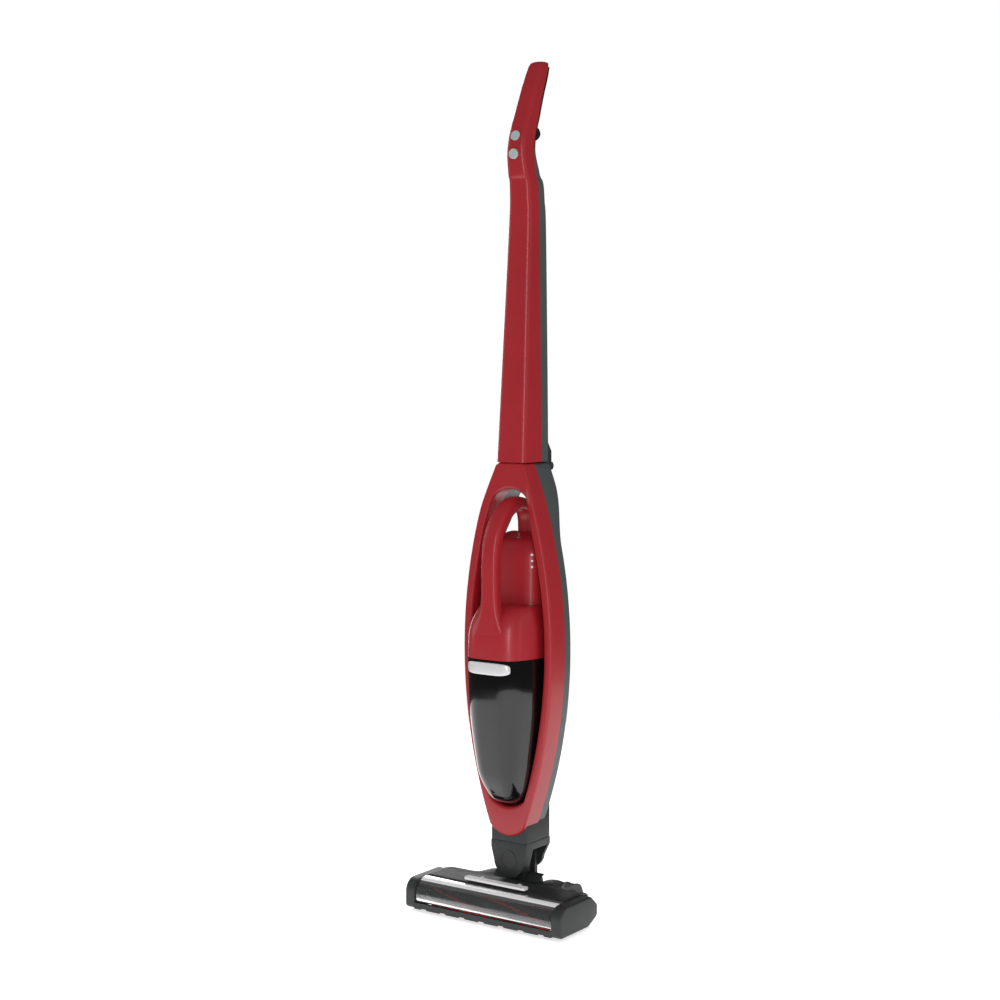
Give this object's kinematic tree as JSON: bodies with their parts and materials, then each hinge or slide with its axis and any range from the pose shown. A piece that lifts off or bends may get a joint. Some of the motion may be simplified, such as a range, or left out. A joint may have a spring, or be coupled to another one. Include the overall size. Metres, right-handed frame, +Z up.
{
  "type": "upright stick vacuum cleaner",
  "caption": "Upright cordless stick vacuum cleaner with swivelling floor head, folding handle and a removable hand unit with dust container.",
  "frame": {"origin": "on the floor under the middle of the machine's outline", "axes": "+X to the right seen from the front, +Y to the back, +Z up; the front with the dust container faces -Y"},
  "size_m": [0.25, 0.16, 1.143],
  "materials": {
    "red_shell": "satin gloss moulding",
    "dark_shell": "fine matte grain",
    "grey_shell": "fine matte grain",
    "black_part": "smooth matte",
    "white_part": "smooth gloss",
    "silver_key": "metallic lacquer",
    "silver_badge": "satin chrome",
    "clear_window": "clear gloss",
    "smoked_bin": "dark tinted gloss",
    "rubber": "soft matte",
    "bristle": "stiff nylon",
    "steel": "bright",
    "pulley_plastic": "smooth",
    "mesh_filter": "fine woven mesh",
    "contact_brass": "bright",
    "board": "lacquered board",
    "cable": "smooth",
    "cell_wrap": "shrink wrap"
  },
  "bodies": {
    "floor_head": {"head_base": "dark_shell", "head_cover": "dark_shell", "end_cap_left": "dark_shell", "end_cap_right": "dark_shell", "brush_window": "clear_window", "front_lip": "dark_shell", "sole_seal": "rubber", "brush_motor": "steel", "drive_belt": "rubber", "brush_bearings": "steel", "wheel_axles": "steel", "roller_pins": "steel", "head_screws": "steel", "pedal_spring": "steel"},
    "brush_roll": {"brush_core": "black_part", "brush_bristles": "bristle", "brush_pulley": "pulley_plastic"},
    "motor_drive": {"motor_pulley": "pulley_plastic"},
    "wheel_left": {"rear_wheel_left": "rubber"},
    "wheel_right": {"rear_wheel_right": "rubber"},
    "roller_left": {"front_roller_left": "rubber"},
    "roller_right": {"front_roller_right": "rubber"},
    "pedal": {"clean_pedal": "white_part"},
    "latch": {"brush_latch": "black_part"},
    "yoke": {"tilt_yoke": "dark_shell", "duct_hose": "rubber"},
    "frame": {"neck_fork": "dark_shell", "neck_collar": "dark_shell", "swivel_pin": "steel", "pin_cap": "black_part", "frame_front": "red_shell", "frame_rear": "grey_shell", "suction_duct": "dark_shell", "dock_contacts": "contact_brass", "hinge_lower": "dark_shell", "hinge_pin": "steel"},
    "handle": {"tube_front": "red_shell", "tube_rear": "grey_shell", "grip_strip": "grey_shell", "hinge_upper": "dark_shell", "handle_board": "board", "handle_cable": "cable"},
    "power_key": {"power_button": "silver_key"},
    "mode_key": {"mode_button": "silver_key"},
    "fold_key": {"fold_button": "black_part"},
    "hand_unit": {"hand_shell": "red_shell", "motor_housing": "red_shell", "vacuum_motor": "steel", "battery_pack": "cell_wrap", "hand_board": "board", "charge_lights": "white_part", "exhaust_grille": "dark_shell"},
    "fan": {"fan_wheel": "pulley_plastic"},
    "hand_key": {"hand_power_button": "dark_shell"},
    "dust_bin": {"dust_container": "smoked_bin", "inner_filter": "mesh_filter", "filter_frame": "dark_shell", "bin_seal": "rubber"},
    "bin_key": {"bin_button": "silver_badge"},
    "flap": {"inlet_flap": "rubber"}
  },
  "joints": [
    {"name": "neck_tilt", "type": "hinge", "parent": "floor_head", "child": "yoke", "pos_m": [0, 0.01675, 0.034], "axis": [-1, 0, 0], "range_deg": [0, 60]},
    {"name": "neck_swivel", "type": "hinge", "parent": "yoke", "child": "frame", "pos_m": [0, 0.01675, 0.072], "axis": [0, 1, 0], "range_deg": [-45, 45]},
    {"name": "handle_fold", "type": "hinge", "parent": "frame", "child": "handle", "pos_m": [0, 0.066, 0.593], "axis": [-1, 0, 0], "range_deg": [0, 165]},
    {"name": "hand_unit_out", "type": "slide", "parent": "frame", "child": "hand_unit", "axis": [0, -1, 0], "range_m": [0, 0.11]},
    {"name": "bin_out", "type": "slide", "parent": "hand_unit", "child": "dust_bin", "axis": [0, -1, 0], "range_m": [0, 0.08]},
    {"name": "flap_swing", "type": "hinge", "parent": "dust_bin", "child": "flap", "pos_m": [0, 0.0055, 0.1538], "axis": [1, 0, 0], "range_deg": [0, 70], "stiffness_Nm_per_rad": 0.002},
    {"name": "fan_spin", "type": "hinge", "parent": "hand_unit", "child": "fan", "pos_m": [0, -0.006, 0.355], "axis": [0, 0, 1], "continuous": true},
    {"name": "hand_key_press", "type": "slide", "parent": "hand_unit", "child": "hand_key", "axis": [0, -1, 0], "range_m": [0, 0.0015], "stiffness_N_per_m": 400, "springref_m": -0.0005},
    {"name": "power_press", "type": "slide", "parent": "handle", "child": "power_key", "axis": [0, 0.9563, -0.2924], "range_m": [0, 0.0015], "stiffness_N_per_m": 400, "springref_m": -0.0005},
    {"name": "mode_press", "type": "slide", "parent": "handle", "child": "mode_key", "axis": [0, 1, 0], "range_m": [0, 0.0015], "stiffness_N_per_m": 400, "springref_m": -0.0005},
    {"name": "fold_press", "type": "slide", "parent": "handle", "child": "fold_key", "axis": [0, -1, 0], "range_m": [0, 0.0015], "stiffness_N_per_m": 400, "springref_m": -0.0005},
    {"name": "bin_press", "type": "slide", "parent": "dust_bin", "child": "bin_key", "axis": [0, 1, 0], "range_m": [0, 0.0015], "stiffness_N_per_m": 400, "springref_m": -0.0005},
    {"name": "pedal_press", "type": "slide", "parent": "floor_head", "child": "pedal", "axis": [0, 0, -1], "range_m": [0, 0.0015], "stiffness_N_per_m": 900, "springref_m": -0.0005, "deforming": ["pedal_spring"]},
    {"name": "latch_slide", "type": "slide", "parent": "floor_head", "child": "latch", "axis": [1, 0, 0], "range_m": [0, 0.004]},
    {"name": "brush_spin", "type": "hinge", "parent": "floor_head", "child": "brush_roll", "pos_m": [0, -0.0545, 0.0196], "axis": [1, 0, 0], "continuous": true},
    {"name": "motor_spin", "type": "hinge", "parent": "floor_head", "child": "motor_drive", "pos_m": [0.101, -0.0125, 0.0236], "axis": [1, 0, 0], "continuous": true},
    {"name": "wheel_left_spin", "type": "hinge", "parent": "floor_head", "child": "wheel_left", "pos_m": [-0.048, 0.062, 0.015], "axis": [1, 0, 0], "continuous": true},
    {"name": "wheel_right_spin", "type": "hinge", "parent": "floor_head", "child": "wheel_right", "pos_m": [0.048, 0.062, 0.015], "axis": [1, 0, 0], "continuous": true},
    {"name": "roller_left_spin", "type": "hinge", "parent": "floor_head", "child": "roller_left", "pos_m": [-0.07, -0.001, 0.005], "axis": [1, 0, 0], "continuous": true},
    {"name": "roller_right_spin", "type": "hinge", "parent": "floor_head", "child": "roller_right", "pos_m": [0.07, -0.001, 0.005], "axis": [1, 0, 0], "continuous": true}
  ],
  "couplings": [
    {"joint": "motor_spin", "follows": "brush_spin", "ratio": 1.8}
  ]
}
